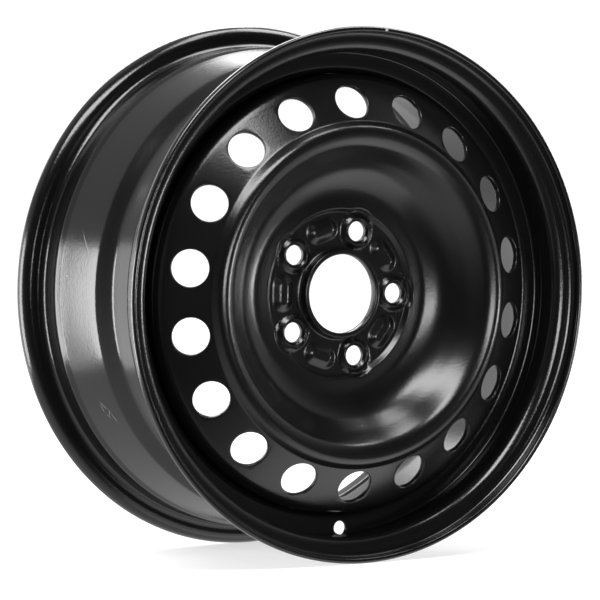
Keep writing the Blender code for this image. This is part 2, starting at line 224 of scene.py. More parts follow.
class WheelDiscSizes(bpy.types.PropertyGroup):
    """Pressed disc: its street side, its sheet and the vents."""

    sheet: length("Sheet", 4, "Thickness of the disc")
    hub_face: length("Hub face", -50, "Place of the face that lies on the hub")
    bore: length("Centre bore", 65.1, "Diameter of the centre bore")
    collar: length("Collar height", 8, "How far the collar round the bore stands out of the pad")
    collar_foot: length("Collar foot", 3, "Radius at the foot of the collar")
    edge: length("Cut edges", 1, "Rounding of the collar's and the skirt's edges")
    pad: length("Pad radius", 67.2, "Radius of the flat pad with the bolt seats")
    pad_step: length("Pad step width", 3.2, "Width of the step at the pad's edge")
    pad_rise: length("Pad step height", 4.2, "Height of the step at the pad's edge")
    ring: length("Ring width", 12.6, "Width of the flat ring outside the step")
    ring_rise: length("Ring height", 2.8, "Height of the ring's outer edge over the pad")
    ring_bend: length("Ring bend", 18, "Radius where the ring meets the dish")
    dish_foot: length("Dish foot", 16, "From the ring to where the dish starts to rise")
    dish_rise: length("Dish height", 8.5, "Height of the dish at that radius, over the pad")
    dish_bend: length("Dish bend", 42, "Radius of the bend in the dish")
    wall: length("Wall radius", 112.5, "Radius where the dish's wall gets steeper")
    wall_rise: length("Wall height", 23.2, "Height there, over the pad")
    crown_inner: length("Crown foot radius", 124.5, "Radius where the dish meets the crown")
    crown_inner_rise: length("Crown foot height", 38.6, "Height there, over the pad")
    crown: length("Crown radius", 136, "Radius of the crown's top corner")
    crown_rise: length("Crown height", 42.4, "Height of the crown over the pad")
    crown_bend: length("Crown bend", 8.5, "Radius over the crown")
    crown_foot: length("Crown outer foot bend", 5, "Radius where the crown meets the vent cone")
    cone: turn("Cone angle", 30, "Slope of the vent cone against the wheel's plane")
    shoulder: length("Shoulder bend", 12, "Radius from the vent cone to the skirt")
    skirt_end: length("Skirt end", -10, "Place of the skirt's edge")
    clearance: length("Clearance", 0.3, "Gap between the skirt and the drop centre")
    vents: count("Vents", 18, "Number of round vents")
    vent: length("Vent", 30.5, "Diameter of a vent")
    vent_circle: length("Vent circle", 158.6, "Radius of the circle of vents")
    vent_rise: length("Vent height", 23.8, "Height of the vents' centres over the pad")
    vent_edge: length("Vent edge", 0.7, "Rounding of the vents' edges")


class WheelFormSizes(bpy.types.PropertyGroup):
    """Forms pressed into the pad: bolt seats and stiffening beads."""

    bolts: count("Bolt seats", 5, "Number of bolt seats, and of beads between them")
    bolt_circle: length("Bolt circle", 108, "Diameter of the circle of bolts")
    bolt_angle: turn("Bolt angle", 70.6, "Place of the first bolt hole round the axle")
    hole: length("Bolt hole", 16.5, "Diameter of a bolt hole")
    seat: length("Bolt seat", 20.6, "Diameter of the conical bolt seat at its top")
    seat_depth: length("Seat depth", 2.1, "Depth of the conical bolt seat")
    boss_base: length("Boss base", 31, "Diameter of a boss at its foot")
    boss_top: length("Boss top", 22.4, "Diameter of a boss at its top")
    boss: length("Boss height", 3.6, "Height of a boss over the pad")
    boss_foot: length("Boss foot bend", 0.8, "Radius at the foot of a boss")
    boss_edge: length("Boss edge bend", 0.6, "Radius over the top edge of a boss")
    seat_edge: length("Seat edge", 0.35, "Rounding of the bolt seat's edges")
    hollow: length("Boss hollow", 25, "Diameter of the hollow behind a boss")
    hollow_top: length("Boss hollow top", 19, "Diameter of that hollow at its bottom")
    hollow_depth: length("Boss hollow depth", 2.4, "Depth of that hollow")
    bead_length: length("Bead length", 31, "Length of a bead at its foot")
    bead_width: length("Bead width", 19, "Width of a bead at its foot")
    bead_slope: length("Bead slope", 6.2, "Width of a bead's slope")
    bead: length("Bead height", 3.2, "Height of a bead over the pad")
    bead_foot: length("Bead foot bend", 0.8, "Radius at the foot of a bead")
    bead_edge: length("Bead edge bend", 3, "Radius over the top edge of a bead")
    bead_hollow_margin: length("Bead hollow margin", 3.4, "How much smaller the hollow behind a bead is")
    bead_hollow: length("Bead hollow depth", 1.9, "Depth of the hollow behind a bead")
    blend: length("Blend", 0.4, "Softness where a raised form runs into the disc")
    scallop: length("Scallop", 16.2, "Radius of the pad's edge round a boss")


class WheelWeldSizes(bpy.types.PropertyGroup):
    """Stitch welds between the skirt's edge and the drop centre."""

    number: count("Stitches", 8, "Number of stitch welds")
    leg: length("Leg", 4, "Leg of the fillet weld")
    span: turn("Span", 19.286, "Length of a stitch, as an angle round the axle")
    first: turn("First stitch", 25.714, "Where the first stitch starts round the axle")
    ripple: length("Ripple", 0.22, "Height of the ripples in the weld")
    ripples: count("Ripples", 26, "Number of ripples in one stitch")


class WheelPaintLook(bpy.types.PropertyGroup):
    """Satin black paint over steel."""

    tone: colour("Paint", (0.003, 0.003, 0.0032), "Colour of the paint")
    roughness: share("Roughness", 0.17, "Roughness of the paint")
    scuff: colour("Scuff", (0.3, 0.3, 0.3), "Colour of the paint where it is scuffed")
    fleck_size: share("Fleck size", 700, "Number of flecks to the metre in the marks")
    peel: share("Orange peel", 0.15, "Strength of the paint's fine waviness")
    peel_size: share("Orange peel size", 520, "Number of waves to the metre")


class WheelStudioLook(bpy.types.PropertyGroup):
    """Camera and light."""

    azimuth: turn("Camera azimuth", -32.56, "0 looks along the axle at the street side")
    elevation: turn("Camera elevation", 3.16, "Above the horizon")
    distance: length("Camera distance", 3758.9, "From the middle of the wheel")
    lens: share("Lens", 270, "Focal length in millimetres")
    aim: FloatVectorProperty(
        name="Aim",
        description="Point that the camera looks at",
        default=(-0.0018, 0.0011, -0.0081),
        subtype="TRANSLATION",
    )
    air: share("Air", 0.6, "Brightness of the pale room")
    dark_air: share("Dark air", 0.02, "Brightness of the room on its dark side")
    dark_azimuth: turn("Dark side azimuth", -15, "Middle of the dark side")
    dark_elevation: turn("Dark side elevation", 20, "Middle of the dark side")
    dark_reach: turn("Dark side reach", 90, "How far the dark side reaches from its middle")
    ground: share("Ground", 1.5, "Brightness straight below, against the air's")
    floor_glow: share("Floor glow", 0.64, "Light that comes through the floor under the wheel")
    far_glow: share("Far floor glow", 1, "Light that comes through the floor far from the wheel")


# Profiles


def fillet(before, corner, after, radius, segments):
    """Arc of the given radius that rounds one corner of a profile."""
    back = (before - corner).normalized()
    ahead = (after - corner).normalized()
    half = back.angle(ahead) / 2
    reach = radius / math.tan(half)
    centre = corner + (back + ahead).normalized() * radius / math.sin(half)
    spoke = corner + back * reach - centre
    last = corner + ahead * reach - centre
    swing = math.atan2(spoke.x * last.y - spoke.y * last.x, spoke.dot(last))
    return [centre + Matrix.Rotation(swing * i / segments, 2) @ spoke for i in range(segments + 1)]


def stretch(start, end, pieces):
    """Points inside a straight stretch that part it into equal pieces."""
    return [start.lerp(end, i / pieces) for i in range(1, pieces)]


def bent(corners, pieces):
    """Profile through corners (radius, y, bend, segments), with each straight in its number of pieces."""
    spots = [Vector(corner[:2]) for corner in corners]
    points = [spots[0]]
    for i in range(1, len(corners) - 1):
        bend, segments = corners[i][2:]
        curve = fillet(spots[i - 1], spots[i], spots[i + 1], bend, segments) if segments else [spots[i]]
        points += stretch(points[-1], curve[0], pieces[i - 1]) + curve
    points += stretch(points[-1], spots[-1], pieces[-1]) + [spots[-1]]
    return points


def pieces_for(corners, longest):
    """Number of pieces for each straight stretch, so that none is longer than asked."""
    spots = [Vector(corner[:2]) for corner in corners]
    return [max(1, math.ceil((b - a).length / longest)) for a, b in zip(spots, spots[1:])]


def other_side(corners, sheet):
    """Corners of the sheet's other side, left of the path, with their bends made wider or tighter."""
    spots = [Vector(corner[:2]) for corner in corners]
    runs = [(b - a).normalized() for a, b in zip(spots, spots[1:])]
    sides = [Vector((-run.y, run.x)) for run in runs]
    moved = [(*(spots[0] + sides[0] * sheet), 0, 0)]
    for i in range(1, len(corners) - 1):
        before, after = sides[i - 1], sides[i]
        spot = spots[i] + (before + after) * sheet / (1 + before.dot(after))
        turns_left = runs[i - 1].cross(runs[i]) > 0
        bend = corners[i][2] - sheet if turns_left else corners[i][2] + sheet
        moved.append((*spot, max(bend, TIGHTEST_BEND), corners[i][3]))
    moved.append((*(spots[-1] + sides[-1] * sheet), 0, 0))
    return moved


def round_end(first, last):
    """Half circle that closes a sheet's rolled edge, between its two sides."""
    centre = (first + last) / 2
    turns = [Matrix.Rotation(math.pi * i / LIP_PIECES, 2) for i in range(1, LIP_PIECES)]
    return [centre + half_turn @ (first - centre) for half_turn in turns]


def height_over(path, place):
    """Second coordinate of a path at a place along its first, which only grows."""
    i = min(max(bisect_right(path, place, key=lambda point: point[0]), 1), len(path) - 1)
    (x0, y0), (x1, y1) = path[i - 1], path[i]
    if x1 - x0 < TINY:
        return y1
    return y0 + (y1 - y0) * min(max((place - x0) / (x1 - x0), 0), 1)


# Rolled hoop


def seat_radius(sizes, y):
    """Tyre side of the tapered bead seat at a place along the axle."""
    return sizes.seat - (sizes.width / 2 - abs(y)) * math.tan(sizes.taper)


def curl_side(sizes, side, inside):
    """One side of a curled flange, from its lip to the flange's foot."""
    centre = Vector((sizes.seat + sizes.flange - sizes.curl, side * (sizes.width / 2 + sizes.curl)))
    points = []
    segments = 15
    lip_share, thinning_share = 0.1, 0.6
    for i in range(segments):
        way = i / segments
        angle = side * (sizes.lip_angle - (sizes.lip_angle + math.pi / 2) * way)
        thin = min(max((way - lip_share) / thinning_share, 0), 1)
        sheet = sizes.lip + (sizes.sheet - sizes.lip) * thin * thin * (3 - 2 * thin)
        radius = sizes.curl - (sheet if inside else 0)
        points.append(centre + radius * Vector((math.cos(angle), math.sin(angle))))
    return points


def flange_to_hump(sizes, side):
    """Corners from the flange's foot over the bead seat to the top of the hump."""
    edge_y = side * sizes.width / 2
    top_y = side * (sizes.width / 2 - sizes.hump_place)
    foot_y = top_y + side * sizes.hump_half
    return [
        (sizes.seat + sizes.flange - sizes.curl, edge_y, 0, 0),
        (sizes.seat, edge_y, sizes.seat_corner, 9),
        (seat_radius(sizes, foot_y), foot_y, sizes.hump_bend, 4),
        (seat_radius(sizes, top_y) + sizes.hump, top_y, sizes.hump_bend, 6),
    ]


def rim_corners(sizes):
    """Corners of the hoop's tyre side between its flanges."""
    wall_top = seat_radius(sizes, sizes.well_start) + sizes.hump / 2
    corners = flange_to_hump(sizes, -1)
    corners += [
        (wall_top, sizes.well_start, sizes.bend - sizes.sheet, 7),
        (sizes.well, sizes.well_start, sizes.well_corner, 7),
        (sizes.well, sizes.well_end, sizes.bend, 5),
        (sizes.ledge_start, sizes.ledge_start_y, sizes.bend, 5),
        (sizes.ledge_end, sizes.ledge_end_y, sizes.hump_bend, 4),
    ]
    corners += reversed(flange_to_hump(sizes, 1))
    return corners


def rim_sides(sizes):
    """Tyre side and axle side of the hoop's section, point for point opposite, and its closed loop."""
    corners = rim_corners(sizes)
    pieces = pieces_for(corners, HOOP_PIECE)
    sides = []
    for inside, path in ((False, corners), (True, other_side(corners, sizes.sheet))):
        sides.append(curl_side(sizes, -1, inside) + bent(path, pieces) + curl_side(sizes, 1, inside)[::-1])
    tyre, axle = sides
    loop = tyre + round_end(tyre[-1], axle[-1]) + axle[::-1] + round_end(axle[0], tyre[0])
    return tyre, axle, loop


# Pressed disc


def disc_corners(sizes):
    """Corners of the disc's street side from the collar's edge to the skirt's edge."""
    pad_y = sizes.hub_face - sizes.sheet
    collar = sizes.bore / 2 + sizes.sheet
    skirt = skirt_radius(sizes)
    cone_start = cone_start_radius(sizes)
    step_end = sizes.pad + sizes.pad_step
    step_foot_bend, step_top_bend = 0.9 * MM, 1.4 * MM
    ring_end = step_end + sizes.ring
    fine_end = step_end + FINE_RING * sizes.ring
    fine_y = pad_y - sizes.pad_rise + FINE_RING * (sizes.pad_rise - sizes.ring_rise)
    return [
        (collar, pad_y - sizes.collar, 0, 0),
        (collar, pad_y, sizes.collar_foot, 5),
        (sizes.pad, pad_y, step_foot_bend, 3),
        (step_end, pad_y - sizes.pad_rise, step_top_bend, 3),
        (fine_end, fine_y, 0, 0),
        (ring_end, pad_y - sizes.ring_rise, sizes.ring_bend, 5),
        (ring_end + sizes.dish_foot, pad_y - sizes.dish_rise, sizes.dish_bend, 8),
        (sizes.wall, pad_y - sizes.wall_rise, 2 * sizes.dish_bend, 4),
        (sizes.crown_inner, pad_y - sizes.crown_inner_rise, 2 * sizes.crown_bend, 5),
        (sizes.crown, pad_y - sizes.crown_rise, sizes.crown_bend, 9),
        (cone_start, cone_y(sizes, cone_start), sizes.crown_foot, 4),
        (skirt, cone_y(sizes, skirt), sizes.shoulder, 7),
        (skirt, sizes.skirt_end, 0, 0),
    ]


def cone_start_radius(sizes):
    """Radius where the crown's outer side meets the vent cone."""
    return sizes.crown + CROWN_SIDE * sizes.crown_bend


def skirt_radius(sizes):
    """Outer radius of the skirt, a clearance inside the drop centre."""
    rim = bpy.context.scene.wheel_rim
    return rim.well - rim.sheet - sizes.clearance


def cone_y(sizes, radius):
    """Street side of the vent cone at a radius."""
    centre_y = sizes.hub_face - sizes.sheet - sizes.vent_rise
    return centre_y + (radius - sizes.vent_circle) * math.tan(sizes.cone)


def disc_sides(sizes):
    """Street side and hub side of the disc, point for point opposite each other."""
    corners = disc_corners(sizes)
    pieces = pieces_for(corners, DISC_PIECE)
    pad_stretch, ring_stretch, cone_stretch = 1, 3, 10
    pieces[pad_stretch] = round((sizes.pad - sizes.bore / 2) / PAD_PIECE)
    pieces[ring_stretch] = 4
    pieces[cone_stretch] = 13
    street = bent(corners, pieces)
    hub = bent(other_side(corners, sizes.sheet), pieces)
    return street, hub


def on_circle(radius, angle, y):
    """Point at a radius and angle round the axle."""
    return Vector((radius * math.cos(angle), y, radius * math.sin(angle)))


def hole_place(radius, angle, y, lean=0):
    """Frame of a hole at a radius and angle, its +Z to the street side and leaning outwards."""
    radial = Vector((math.cos(angle), 0, math.sin(angle)))
    outward = Vector((0, -math.cos(lean), 0)) + radial * math.sin(lean)
    tangent = outward.cross(radial).normalized()
    across = tangent.cross(outward)
    turned = Matrix((across, tangent, outward)).transposed().to_4x4()
    return Matrix.Translation(on_circle(radius, angle, y)) @ turned


def soft_higher(first, second, blend):
    """Higher of two heights, with a soft valley where they meet."""
    overlap = max(blend - abs(first - second), 0) / blend
    return max(first, second) + overlap * overlap * blend / 4


def scalloped(sizes, forms, plain, x, z):
    """Height of the step at the pad's edge, set back round each boss."""
    room = max(bolt_distance(forms, x, z) - forms.scallop, 0) * sizes.pad_rise / sizes.pad_step
    return -soft_higher(-plain, -room, forms.blend) if room < 2 * sizes.pad_rise else plain


def form_path(*corners):
    """Height of a form over its distance, through corners and on along the plain pad."""
    corners = (*corners, (PAST_FORMS, 0, 0, 0))
    return bent(corners, [1] * (len(corners) - 1))


def boss_path(forms):
    """Height over the pad at a distance from a bolt hole's axis, from the hole's wall outwards."""
    return form_path(
        (forms.hole / 2, -forms.boss, 0, 0),
        (forms.hole / 2, forms.boss - forms.seat_depth, forms.seat_edge, 3),
        (forms.seat / 2, forms.boss, forms.seat_edge, 3),
        (forms.boss_top / 2, forms.boss, forms.boss_edge, 5),
        (forms.boss_base / 2, 0, forms.boss_foot, 5),
    )


def hollow_path(forms):
    """Depth of the hollow behind a boss at a distance from the bolt hole's axis."""
    return form_path(
        (forms.hole / 2, forms.hollow_depth, 0, 0),
        (forms.hollow_top / 2, forms.hollow_depth, forms.boss_edge, 4),
        (forms.hollow / 2, 0, forms.boss_edge, 4),
    )


def bead_path(forms):
    """Height of a bead at a distance from its middle line."""
    half = forms.bead_width / 2
    return form_path(
        (0, forms.bead, 0, 0),
        (half - forms.bead_slope, forms.bead, forms.bead_edge, 5),
        (half, 0, forms.bead_foot, 5),
    )


def bead_hollow_path(forms):
    """Depth of the hollow behind a bead at a distance from its middle line."""
    half = forms.bead_width / 2 - forms.bead_hollow_margin
    return form_path(
        (0, forms.bead_hollow, 0, 0),
        (half - HOLLOW_SLOPE * forms.bead_slope, forms.bead_hollow, forms.boss_edge, 4),
        (half, 0, forms.boss_edge, 4),
    )


def bolt_angles(forms):
    """Angles of the bolt holes round the axle."""
    return [forms.bolt_angle + FULL_TURN * i / forms.bolts for i in range(forms.bolts)]


def bead_distance(forms, x, z):
    """Distance of a point of the pad from the middle line of the nearest bead."""
    half = (forms.bead_length - forms.bead_width) / 2
    nearest = PAST_FORMS
    for angle in bolt_angles(forms):
        middle = angle + math.pi / forms.bolts
        radial = x * math.cos(middle) + z * math.sin(middle) - forms.bolt_circle / 2
        along = z * math.cos(middle) - x * math.sin(middle)
        nearest = min(nearest, math.hypot(radial, max(abs(along) - half, 0)))
    return nearest


def bolt_distance(forms, x, z):
    """Distance of a point of the pad from the nearest bolt hole's axis."""
    radius = forms.bolt_circle / 2
    return min(math.hypot(x - radius * math.cos(a), z - radius * math.sin(a)) for a in bolt_angles(forms))


def pressed_height(forms, paths, x, z):
    """Height of the forms pressed into the pad, on one side of the sheet."""
    boss, bead = paths
    return max(height_over(boss, bolt_distance(forms, x, z)), height_over(bead, bead_distance(forms, x, z)))


# Mesh tools


def step_at(angle):
    """Angle round the axle, counted in the faces of a spun piece from the middle of its first face."""
    return math.degrees(angle) - 0.5


def spin(shape, section, angle, steps):
    """Turns a section round the axle, from +X towards +Z, and closes a full turn."""
    full = angle == FULL_TURN
    centre, axis = (0, 0, 0), (0, -1, 0)
    bmesh.ops.spin(shape, geom=section, cent=centre, axis=axis, angle=angle, steps=steps, use_merge=full)


def spun(shape, loop):
    """Turns a closed section round the axle, and returns its faces by row and step."""
    row = shape.verts.layers.int.new("row")
    corners = [shape.verts.new((point.x, point.y, 0)) for point in loop]
    for i, corner in enumerate(corners):
        corner[row] = i
    edges = [shape.edges.new((a, b)) for a, b in zip(corners, corners[1:] + corners[:1])]
    spin(shape, corners + edges, FULL_TURN, STEPS)
    grid = {}
    for face in shape.faces:
        rows = [corner[row] for corner in face.verts]
        middle = face.calc_center_median()
        if max(rows) - min(rows) == 1:
            grid[min(rows), round(step_at(math.atan2(middle.z, middle.x))) % STEPS] = face
    return row, grid


def window_edges(shape, grid, rows, angle, reach):
    """Takes out the faces between two rows within a reach of an angle, and gives the edges round the gap."""
    first, last = rows
    middle = step_at(angle)
    steps = range(math.ceil(middle - reach), math.floor(middle + reach) + 1)
    gone = [grid[row, step % STEPS] for step in steps for row in range(first, last)]
    faces = set(gone)
    edges = [edge for face in gone for edge in face.edges if sum(f in faces for f in edge.link_faces) == 1]
    bmesh.ops.delete(shape, geom=gone, context="FACES")
    return edges


def ring(shape, edges, place, radius, way, height):
    """Extrudes a ring of edges and lays it some or all of the way to a circle round the place's axis."""
    made = bmesh.ops.extrude_edge_only(shape, edges=edges)["geom"]
    corners = {item for item in made if isinstance(item, bmesh.types.BMVert)}
    from_place = place.inverted()
    spots = {corner: from_place @ corner.co for corner in corners}
    order = sorted(corners, key=lambda corner: math.atan2(spots[corner].y, spots[corner].x))
    even = [FULL_TURN * i / len(order) - math.pi for i in range(len(order))]
    shift = sum(math.atan2(spots[c].y, spots[c].x) - a for c, a in zip(order, even)) / len(order)
    for corner, angle in zip(order, even):
        on_ring = radius * Vector((math.cos(angle + shift), math.sin(angle + shift)))
        spot = spots[corner].to_2d().lerp(on_ring, way)
        corner.co = place @ Vector((*spot, height(spot)))
    return [item for item in made if isinstance(item, bmesh.types.BMEdge) and corners.issuperset(item.verts)]


def surface(path, pressed=lambda y, x, z: y):
    """Surface of a turned path: its y at an x and z, with the forms pressed into it."""
    return lambda x, z: pressed(height_over(path, math.hypot(x, z)), x, z)


def laid_on(place, lean, y_at):
    """Height over a hole's own plane at which a point lies on a surface y = y_at(x, z)."""
    rounds = 8

    def height(spot):
        rise = 0
        for _ in range(rounds):
            point = place @ Vector((*spot, rise))
            rise += (point.y - y_at(point.x, point.z)) * math.cos(lean)
        return rise

    return height


def linked(name, data):
    """New object in the scene."""
    item = bpy.data.objects.new(name, data)
    bpy.context.scene.collection.objects.link(item)
    return item


def placed(name, shape, material):
    """Makes an object of a shape, with its material."""
    mesh = bpy.data.meshes.new(name)
    shape.to_mesh(mesh)
    shape.free()
    mesh.materials.append(material)
    return linked(name, mesh)


def finished(name, shape, material):
    """Makes the piece's object, with its faces pointing outwards and smooth."""
    bmesh.ops.recalc_face_normals(shape, faces=shape.faces)
    piece = placed(name, shape, material)
    piece.data.shade_smooth()
    return piece


def claim(piece, nodes):
    """The piece stands for its nodes of the frame, whose parts it hides, and rides on the wheel."""
    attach(piece, "root")
    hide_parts(*nodes)


# Paint


def feed(tree, node, inputs):
    """Links each input of a node to a socket, or sets it to a value."""
    for name, value in inputs.items():
        if isinstance(value, bpy.types.NodeSocket):
            tree.links.new(value, node.inputs[name])
        else:
            node.inputs[name].default_value = value


def new_node(tree, kind, inputs, **settings):
    """Node of a kind with its settings and inputs."""
    node = tree.nodes.new(kind)
    for name, value in settings.items():
        setattr(node, name, value)
    feed(tree, node, inputs)
    return node


def new_material(name, tone):
    """New material, its node tree, its shader and the coordinates of the piece."""
    material = bpy.data.materials.new(name)
    material.use_nodes = True
    tree = material.node_tree
    shader = tree.nodes["Principled BSDF"]
    shader.inputs["Base Color"].default_value = (*tone, 1)
    return material, tree, shader, tree.nodes.new("ShaderNodeTexCoord").outputs["Object"]


def noise(tree, place, size, detail):
    """Noise with its number of waves to the metre."""
    inputs = {"Vector": place, "Scale": size, "Detail": detail}
    return new_node(tree, "ShaderNodeTexNoise", inputs).outputs["Fac"]


def joined(tree, operation, first, second):
    """Product, larger one or the like of two values."""
    return new_node(tree, "ShaderNodeMath", {0: first, 1: second}, operation=operation).outputs["Value"]


def mapped(tree, value, limits, results, interpolation="LINEAR"):
    """Takes a value between two limits to between two results, and no farther."""
    names = ("Value", "From Min", "From Max", "To Min", "To Max")
    inputs = dict(zip(names, (value, *limits, *results)))
    return new_node(tree, "ShaderNodeMapRange", inputs, interpolation_type=interpolation).outputs["Result"]


def mark_mask(tree, place, fleck, mark):
    """Share of scuffed paint at one mark: a flat ellipsoid, broken up by a fine noise."""
    centre, along, half_length, half_width, depth, strength = mark
    outward = Vector((centre[0], 0, centre[2])).normalized()
    run = Vector(along).normalized()
    across = outward.cross(run).normalized()
    turned = Matrix((run, across, run.cross(across))).transposed()
    box = {
        "Vector": place,
        "Location": Vector(centre) * MM,
        "Rotation": turned.to_euler(),
        "Scale": Vector((half_length, half_width, depth)) * MM,
    }
    spot = new_node(tree, "ShaderNodeMapping", box, vector_type="TEXTURE").outputs["Vector"]
    ball = new_node(tree, "ShaderNodeTexGradient", {"Vector": spot}, gradient_type="SPHERICAL")
    broken = joined(tree, "MULTIPLY", ball.outputs["Fac"], fleck)
    return mapped(tree, broken, MARK_LIMITS, (0, strength))


def satin_black(name, duller, marks=()):
    """Satin black paint with a fine orange peel, scuffed at its marks."""
    look = bpy.context.scene.wheel_paint
    material, tree, shader, place = new_material(name, look.tone)
    roughness = look.roughness + duller
    cloud = noise(tree, place, CLOUD_SIZE, detail=5)
    rough = mapped(tree, cloud, (0, 1), (roughness + CLOUD_GLOSS, roughness + CLOUD_DULL))
    if marks:
        fleck = noise(tree, place, look.fleck_size, detail=3)
        scuffed = mark_mask(tree, place, fleck, marks[0])
        for mark in marks[1:]:
            scuffed = joined(tree, "MAXIMUM", scuffed, mark_mask(tree, place, fleck, mark))
        tones = {"Factor": scuffed, "A": (*look.tone, 1), "B": (*look.scuff, 1)}
        tone = new_node(tree, "ShaderNodeMix", tones, data_type="RGBA")
        feed(tree, shader, {"Base Color": tone.outputs["Result"]})
        rough = joined(tree, "MAXIMUM", scuffed, rough)
    waves = noise(tree, place, look.peel_size, detail=2)
    peel = {"Height": waves, "Strength": look.peel, "Distance": PEEL_DEPTH}
    bump = new_node(tree, "ShaderNodeBump", peel)
    feed(tree, shader, {"Roughness": rough, "Normal": bump.outputs["Normal"]})
    return material


# Operators


class WHEEL_OT_rim(bpy.types.Operator):
    """Builds the rolled hoop with its curled flanges, humps, drop centre and valve hole"""

    bl_idname = "wheel.rim"
    bl_label = "Rolled Hoop"

    def execute(self, context):
        sizes = context.scene.wheel_rim
        tyre, axle, loop = rim_sides(sizes)
        shape = bmesh.new()
        _, grid = spun(shape, loop)
        pierce_valve_hole(shape, grid, sizes, tyre, axle, len(loop))
        paint = satin_black("hoop_satin_black", 0, HOOP_MARKS)
        piece = finished("rim_hoop", shape, paint)
        claim(piece, ["rim"])
        return {"FINISHED"}


def pierce_valve_hole(shape, grid, sizes, tyre, axle, rows_round):
    """Opens the valve hole through the drop centre's street-side wall, with rounded edges."""
    angle = sizes.valve_angle
    place = hole_place(sizes.valve_radius, angle, sizes.well_start)
    low_y = sizes.well_start - VALVE_WINDOW_BACK
    wall = [i for i, point in enumerate(tyre) if low_y < point.y < sizes.well_end]
    wall = [i for i in wall if abs(tyre[i].x - sizes.valve_radius) < VALVE_WINDOW]
    first, last = wall[0], wall[-1]
    beyond = 3
    axle_start = rows_round - LIP_PIECES
    ends = []
    sides = ((tyre, (first, last), 1), (axle, (axle_start - last, axle_start - first), -1))
    for side, rows, down in sides:
        path = sorted(tuple(side[i]) for i in range(first - beyond, last + beyond + 1))
        on_sheet = laid_on(place, 0, surface(path))
        edges = window_edges(shape, grid, rows, angle, VALVE_WINDOW_SIDE)
        ends += round_hole(shape, edges, place, sizes.valve_hole / 2, sizes.valve_edge, on_sheet, down)
    bmesh.ops.bridge_loops(shape, edges=ends)


def round_hole(shape, edges, place, radius, edge, on_sheet, down):
    """Leads a gap's edges to a circle in two steps, rounds the hole's edge and gives its last edges."""
    for way in (0.5, 1):
        edges = ring(shape, edges, place, radius + edge, way, on_sheet)
    for i in range(1, HOLE_PIECES + 1):
        swing = math.pi / 2 * i / HOLE_PIECES
        wide = radius + edge * (1 - math.sin(swing))
        deep = down * edge * (1 - math.cos(swing))
        at_edge = (radius + edge) / wide
        edges = ring(shape, edges, place, wide, 1, lambda spot: on_sheet(spot * at_edge) + deep)
    return edges


class WHEEL_OT_disc(bpy.types.Operator):
    """Builds the pressed disc with its vents, bolt seats and beads"""

    bl_idname = "wheel.disc"
    bl_label = "Pressed Disc"

    def execute(self, context):
        sizes = context.scene.wheel_disc
        forms = context.scene.wheel_forms
        street, hub = disc_sides(sizes)
        inner = street[1:-1]
        outer = hub[-2:0:-1]
        skirt_edge = cut_edge(sizes, street[-2], street[-1], hub[-1], hub[-2])
        collar_edge = cut_edge(sizes, hub[1], hub[0], street[0], street[1])
        shape = bmesh.new()
        row, grid = spun(shape, inner + skirt_edge + outer + collar_edge)

        pad_y = sizes.hub_face - sizes.sheet
        raised = boss_path(forms), bead_path(forms)
        sunk = hollow_path(forms), bead_hollow_path(forms)
        collar = sizes.bore / 2 + sizes.sheet
        foot = collar + sizes.collar_foot
        skirt = skirt_radius(sizes) - SLACK
        street_path = [tuple(p) for p in street if foot - SLACK < p.x < skirt]
        hub_path = [tuple(p) for p in hub if foot - SLACK < p.x < skirt - sizes.sheet]

        def pressed_street(y, x, z):
            """Street side with its forms, from the plain disc's y."""
            plain = scalloped(sizes, forms, pad_y - y, x, z)
            return pad_y - soft_higher(plain, pressed_height(forms, raised, x, z), forms.blend)

        def pressed_hub(y, x, z):
            """Hub side with its hollows, from the plain disc's y."""
            return y - pressed_height(forms, sunk, x, z)

        for corner in shape.verts:
            x, y, z = corner.co
            radius = math.hypot(x, z)
            if not collar + COLLAR_CLEAR <= radius <= sizes.pad + PAD_FORMS_END:
                continue
            if corner[row] < len(inner):
                corner.co.y = pressed_street(y, x, z)
            elif radius > foot:
                corner.co.y = pressed_hub(y, x, z)

        def rows_between(low, high):
            """Rows of both sides whose street side lies between two radii."""
            inside = [i for i, point in enumerate(inner) if low <= point.x <= high]
            first, last = inside[0], inside[-1]
            far = len(inner) + len(skirt_edge) + len(outer) - 1
            return (first, last), (far - last, far - first)

        surfaces = surface(street_path, pressed_street), surface(hub_path, pressed_hub)
        cone_start = cone_start_radius(sizes) + VENT_WINDOW_START
        vent_rows = rows_between(cone_start, sizes.vent_circle + VENT_WINDOW_OUT)
        for i in range(sizes.vents):
            angle = context.scene.wheel_rim.valve_angle + FULL_TURN * i / sizes.vents
            pierce_vent(shape, grid, vent_rows, sizes, angle, surfaces)
        bolt_radius = forms.bolt_circle / 2
        bolt_rows = rows_between(bolt_radius - BOLT_WINDOW_IN, bolt_radius + BOLT_WINDOW_OUT)
        for angle in bolt_angles(forms):
            pierce_bolt(shape, grid, bolt_rows, sizes, forms, angle)
        paint = satin_black("disc_satin_black", DISC_DULLER, DISC_MARKS)
        piece = finished("pressed_disc", shape, paint)
        claim(piece, ["disc"])
        return {"FINISHED"}


def cut_edge(sizes, before, first, second, after):
    """Cut edge of the disc, with both its corners rounded."""
    rounding = sizes.edge, CUT_PIECES
    return fillet(before, first, second, *rounding) + fillet(first, second, after, *rounding)


def pierce_vent(shape, grid, rows, sizes, angle, surfaces):
    """Opens one round vent square to the cone, with rounded edges."""
    place = hole_place(sizes.vent_circle, angle, cone_y(sizes, sizes.vent_circle), sizes.cone)
    ends = []
    for side_rows, y_at, down in zip(rows, surfaces, (-1, 1)):
        edges = window_edges(shape, grid, side_rows, angle, VENT_WINDOW_SIDE)
        on_sheet = laid_on(place, sizes.cone, y_at)
        ends += round_hole(shape, edges, place, sizes.vent / 2, sizes.vent_edge, on_sheet, down)
    bmesh.ops.bridge_loops(shape, edges=ends)


